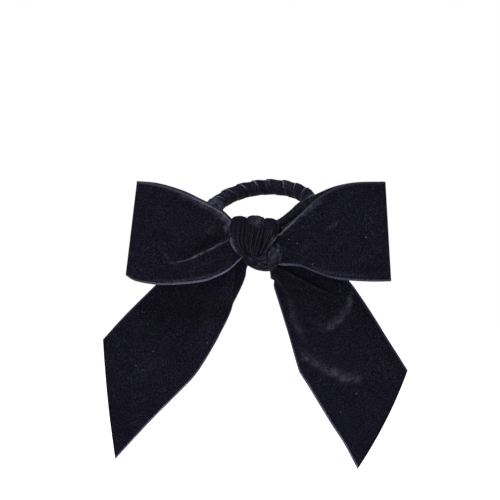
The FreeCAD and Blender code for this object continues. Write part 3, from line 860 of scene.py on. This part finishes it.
def build_strap(rows=120, columns=241):
    """The ribbon's turn round the elastic behind the knot. The whole ribbon's width is gathered
    into it, in deep lengthwise pleats."""
    strap_low, strap_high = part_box("knot_strap")
    middle, y, z = NEAR_TUBE
    reach = strap_high.y - y - 0.35 * MM
    angle = np.radians(np.linspace(152, -152, rows))
    radius = reach + 0.6 * MM * np.cos(2 * angle) ** 2
    path = np.stack([y + radius * np.cos(angle), z + radius * np.sin(angle)], axis=1)
    front_top = [(CORE_HIGH.y - 1.5 * MM, CORE_HIGH.z - 1.0 * MM)]
    front_low = [(CORE_HIGH.y - 1.5 * MM, CORE_LOW.z + 2.0 * MM)]
    path = smooth_line(np.vstack([front_top, path[4:-4:8], front_low]), np.linspace(0, 1, rows))
    across = np.linspace(-1, 1, columns)
    share = np.linspace(0, 1, rows)
    half = 0.5 * (strap_high.x - strap_low.x) * (0.96 + 0.35 * np.abs(2 * share - 1) ** 3)
    tangent = unit(np.gradient(path, axis=0))
    out = np.stack([-tangent[:, 1], tangent[:, 0]], axis=1)
    sway = 0.06 * np.sin(5 * share)[:, None]
    phase = 0.5 * STRAP_PLEATS * math.pi * (across[None, :] + sway) + 0.4
    uneven = 0.9 + 0.1 * np.cos(9 * across[None, :] + 3 * share[:, None])
    edge_drop = 0.7 * MM * across[None, :] ** 4
    pleat = STRAP_PLEAT_DEPTH * np.abs(np.cos(phase)) ** 0.8 * uneven - edge_drop
    grid = np.empty((rows, columns, 3))
    grid[..., 0] = middle + half[:, None] * across[None, :]
    grid[..., 1] = path[:, 0][:, None] + out[:, 0][:, None] * pleat
    grid[..., 2] = path[:, 1][:, None] + out[:, 1][:, None] * pleat
    if not faces_out(grid, NEAR_TUBE):
        grid = grid[:, ::-1]
    lit = 0.35 * crests(pleat, 25, 0.9 * MM)
    strap = cloth_piece("knot_strap_turn", grid, GATHERED_THICK, VELVET, BACKING, SELVEDGE, lit)
    edge = selvedges("knot_strap_selvedge", grid, [[0.4, 0.4], [0.4, 0.4]])
    return strap, edge, float(column_lengths(grid).mean())


# ---- ring

COLLAR_LOW, COLLAR_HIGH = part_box("wrap_end_collar")
COLLAR_MIDDLE = np.array((COLLAR_LOW + COLLAR_HIGH) / 2)
COLLAR_ARC = math.atan2(COLLAR_MIDDLE @ RING_SIDE, COLLAR_MIDDLE @ RING_BACK)
COLLAR_WIDTH = 6.8 * MM
RUFFLED_ARC = TAU + 0.95  # the ruffled part of the wrap, at the ring's right side
WRAP_SLANT = 0.9 * MM
SEEN_TURN = math.atan2(-RING_UP[1], -RING_BACK[1])
# The wrap's bead turns pale lavender where its painted highlight reaches
WRAP_EDGE = woven("wrap_selvedge", colour(0.0055, 0.005, 0.011), colour(0.330, 0.315, 0.480),
                  0.3 * MM, 0.5, 4 * MM, 0.1, True)


def on_ring(arc, turn, radius):
    """Points on the ring's tube: arc is the angle round the ring from the head side, turn the
    angle round the tube."""
    outward = np.cos(arc)[..., None] * RING_BACK + np.sin(arc)[..., None] * RING_SIDE
    section = np.cos(turn)[..., None] * outward + np.sin(turn)[..., None] * RING_UP
    return RING_RADIUS * outward + radius[..., None] * section


def build_wrap(per_turn=40, columns=14):
    """The narrow velvet ribbon wound round the elastic, each turn lapping over the last."""
    rng = np.random.default_rng(3)
    rows = WRAP_TURNS * per_turn + 7
    turn = np.arange(rows) / per_turn
    across = np.linspace(0, 1, columns)
    knots = np.arange(WRAP_TURNS + 3)
    uneven = np.interp(turn, knots, rng.uniform(-0.10, 0.10, len(knots))) * WRAP_PITCH
    start_arc = COLLAR_ARC + 0.5 * COLLAR_WIDTH / RING_RADIUS
    advance = (turn * WRAP_PITCH + uneven)[:, None] + across[None, :] * WRAP_WIDTH
    extra = WRAP_SLANT * np.sin(TAU * turn - SEEN_TURN)[:, None]
    arc = start_arc + (advance + extra) / RING_RADIUS
    overlap = 1 - WRAP_PITCH / WRAP_WIDTH
    raised = eased(1 - np.clip((across - overlap * 0.8) / 0.35, 0, 1))
    lumps = ripple(across[None, :] * 0.6, turn[:, None] * 1.7, 0.16 * MM, 6, 8)
    rim = TUBE_RADIUS + WRAP_RISE
    top_turn = math.atan2(RING_UP[2], RING_BACK[2])
    shown = 0.5 + 0.5 * np.cos(TAU * turn - top_turn - 0.35)
    step = WRAP_THICK * (0.3 + 0.5 * shown)[:, None]
    radius = rim - WRAP_THICK + step * raised[None, :] + lumps * (0.4 + 0.6 * shown)[:, None]
    angle = np.repeat(TAU * turn[:, None], columns, axis=1)
    grid = on_ring(arc, angle, radius)
    flipped = not faces_out(grid, on_ring(arc, angle, np.zeros_like(radius)))
    ruffled = 0.10 + 0.14 * ripple(across[None, :], turn[:, None] * 0.8, 1.6, 6, 41)
    right_side = np.exp(-((arc - RUFFLED_ARC) / 0.3) ** 2)
    pile_and_highlight = np.clip(ruffled + 0.3 * right_side * np.abs(np.sin(6 * TAU * turn))[:, None], 0, 1)
    if flipped:
        grid = grid[:, ::-1]
        pile_and_highlight = pile_and_highlight[:, ::-1]
    wrap = cloth_piece("wrap_ribbon", grid, WRAP_THICK, WRAP_VELVET, BACKING, BACKING, pile_and_highlight)
    edge = wrap_lip(grid, -1 if flipped else 0, shown)
    return wrap, edge, float(column_lengths(grid).mean())


def wrap_lip(grid, column, shown):
    """The wrap's visible selvedge: a fine bead along the lapping edge, with a painted highlight where it
    passes over the ring's upper side.
    """
    normals = grid_normals(grid)
    inner = 1 if column == 0 else -2
    line = grid[:, column] - normals[:, column] * WRAP_THICK * 0.4
    over = unit(grid[:, inner] - grid[:, column])
    radii = np.tile([LIP_HALF_WIDTH, LIP_HALF_THICK], (len(line), 6, 1))
    radii *= (1 + 0.12 * np.cos(np.arange(len(line)) * 2.4))[:, None, None]
    # Painted highlight on the bead where it passes over the ring's upper side
    glow = np.repeat(np.clip(4.5 * shown - 2.9, 0, 1.6), radii.shape[1])
    return tube_piece("wrap_ribbon_lip", line, over, normals[:, column], radii, [WRAP_EDGE], glow)


def build_collar(rows=96, columns=18):
    """The wrap's end: a closed turn of rough, brushed ribbon at the ring's left side."""
    turn = np.linspace(0, TAU * 1.12, rows)
    across = np.linspace(-0.5, 0.5, columns)
    rng = np.random.default_rng(9)
    ragged = 0.35 * MM * np.interp(np.linspace(0, 24, rows), np.arange(25), rng.uniform(-1, 1, 25))
    along_ring = across[None, :] * COLLAR_WIDTH + ragged[:, None] * np.sign(across)[None, :]
    arc = COLLAR_ARC + along_ring / RING_RADIUS
    lumps = ripple(across[None, :] * 2, turn[:, None] / TAU * 3, 0.25 * MM, 6, 18)
    radius = TUBE_RADIUS + WRAP_RISE + lumps - 1.2 * MM * (2 * np.abs(across[None, :])) ** 4 \
        + 0.35 * MM * (turn[:, None] / TAU)
    angle = np.repeat(turn[:, None], columns, axis=1)
    grid = on_ring(arc, angle, radius)
    if not faces_out(grid, on_ring(arc, angle, np.zeros_like(radius))):
        grid = grid[:, ::-1]
    pile_and_highlight = np.clip(0.6 + 0.3 * ripple(across[None, :] * 2, turn[:, None] / TAU * 4, 1.5, 6, 43), 0, 1)
    piece = cloth_piece("wrap_end_turn", grid, WRAP_THICK, COLLAR_VELVET, BACKING, BACKING, pile_and_highlight)
    return piece, float(column_lengths(grid).mean())


def build_elastic(rows=240, around=20):
    """The covered rubber cord inside the wrap, one closed ring."""
    arc = np.linspace(0, TAU, rows, endpoint=False)
    angle = np.linspace(0, TAU, around, endpoint=False)
    arcs, angles = np.meshgrid(arc, angle, indexing="ij")
    radius = CORD_RADIUS * (1 + 0.04 * np.cos(10 * angles + 60 * arcs))
    ring = on_ring(arcs, angles, radius).reshape(-1, 3)
    index = np.arange(rows * around).reshape(rows, around)
    around_next = np.roll(index, -1, axis=1)
    along_next = np.roll(index, -1, axis=0)
    corner = np.roll(around_next, -1, axis=0)
    faces = np.stack([index, along_next, corner, around_next], axis=-1).reshape(-1, 4).tolist()
    return add_mesh("elastic_cord", ring, faces, [RUBBER])


# ---- build and attach

for name in ("left", "right"):
    ribbon, edge, length = build_loop(name)
    for piece in (ribbon, edge):
        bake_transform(piece)
    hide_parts(f"{name}_loop")

    ribbon, edge, lengths = build_tail(name)
    for piece in (ribbon, edge):
        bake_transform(piece)
    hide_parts(f"{name}_tail", f"{name}_tail_root")

fan, fan_edge, fan_length = build_knot_band()
roll = build_lower_turn()
waist = build_core()
strap, strap_edge, strap_length = build_strap()
for piece, node_name in ((fan, "knot_band"), (roll, "knot_lower_turn"), (waist, "knot_core"),
                         (strap, "knot_strap"), (fan_edge, None), (strap_edge, None)):
    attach(piece, "knot")
    if node_name:
        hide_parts(node_name)

wrap, lip, wrap_length = build_wrap()
collar, collar_length = build_collar()
elastic = build_elastic()
for piece in (wrap, lip, elastic):
    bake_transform(piece)
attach(collar, "elastic_far")
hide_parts("wrap_ribbon_near", "wrap_ribbon_far")
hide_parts("wrap_end_collar")
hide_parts("elastic_core_near", "elastic_core_far")

join = frame["nodes"]["elastic_join"]
join.data.materials.clear()
join.data.materials.append(TAPE)

# ---- stage, light and camera

WHITE = colour(1.0, 1.0, 1.0)
FLOOR_GAP = 4 * MM
FLOOR_GLOW = 0.9
AMBIENT = 0.45

stage_material, stage_shader = new_material("pale_floor")
grain = noise(stage_material, 30 * MM, 2.0)
paper = mix_colours(stage_material, grain, colour(0.93, 0.93, 0.93), colour(0.96, 0.96, 0.96))
feed(stage_material, stage_shader, {"Base Color": paper, "Roughness": 0.9, "Emission Color": WHITE,
                                    "Emission Strength": FLOOR_GLOW})
low, high = cad_bounds
floor_z = low[2] - FLOOR_GAP
bpy.ops.mesh.primitive_plane_add(size=8, location=(0, 0, floor_z))
floor = bpy.context.object
floor.name = "floor"
floor.data.materials.append(stage_material)

world = bpy.data.worlds.new("studio")
bpy.context.scene.world = world
world.use_nodes = True
sky = world.node_tree.nodes["Background"]
direct = node(world, "ShaderNodeLightPath").outputs["Is Camera Ray"]
feed(world, sky, {"Color": WHITE, "Strength": stretch(world, direct, 0.0, 1.0, AMBIENT, 1.0)})


def soft_light(name, place, aim, size, power):
    light = bpy.data.lights.new(name, "AREA")
    light.shape = "DISK"
    light.size = size
    light.energy = power
    lamp = bpy.data.objects.new(name, light)
    bpy.context.scene.collection.objects.link(lamp)
    lamp.location = place
    direction = Vector(aim) - Vector(place)
    lamp.rotation_euler = direction.to_track_quat("-Z", "Y").to_euler()


soft_light("key", (-0.35, -0.55, 1.0), (0, 0, -0.03), 0.35, 14.0)
soft_light("fill", (1.0, -0.5, 0.15), (0, 0, -0.04), 0.5, 3.0)

VIEW_SPAN = 260 * MM
LENS = 300.0
SENSOR = 36.0
VIEW_SHIFT = -2.5 * MM  # from the bow's middle to the picture's
VIEW_LIFT = 7 * MM  # from the foot of the knot's core to the picture's middle
bow_middle_x = (low[0] + high[0]) / 2 + VIEW_SHIFT
view_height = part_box("knot_core")[0].z + VIEW_LIFT
distance = VIEW_SPAN * LENS / SENSOR
camera = bpy.data.cameras.new("camera")
camera.lens = LENS
camera.sensor_width = SENSOR
camera.clip_end = 50
camera_object = bpy.data.objects.new("camera", camera)
bpy.context.scene.collection.objects.link(camera_object)
camera_object.location = (bow_middle_x, BOW_DEPTH["left"] - distance, view_height)
camera_object.rotation_euler = (math.pi / 2, 0, 0)
bpy.context.scene.camera = camera_object
bpy.context.scene.view_settings.view_transform = "Standard"
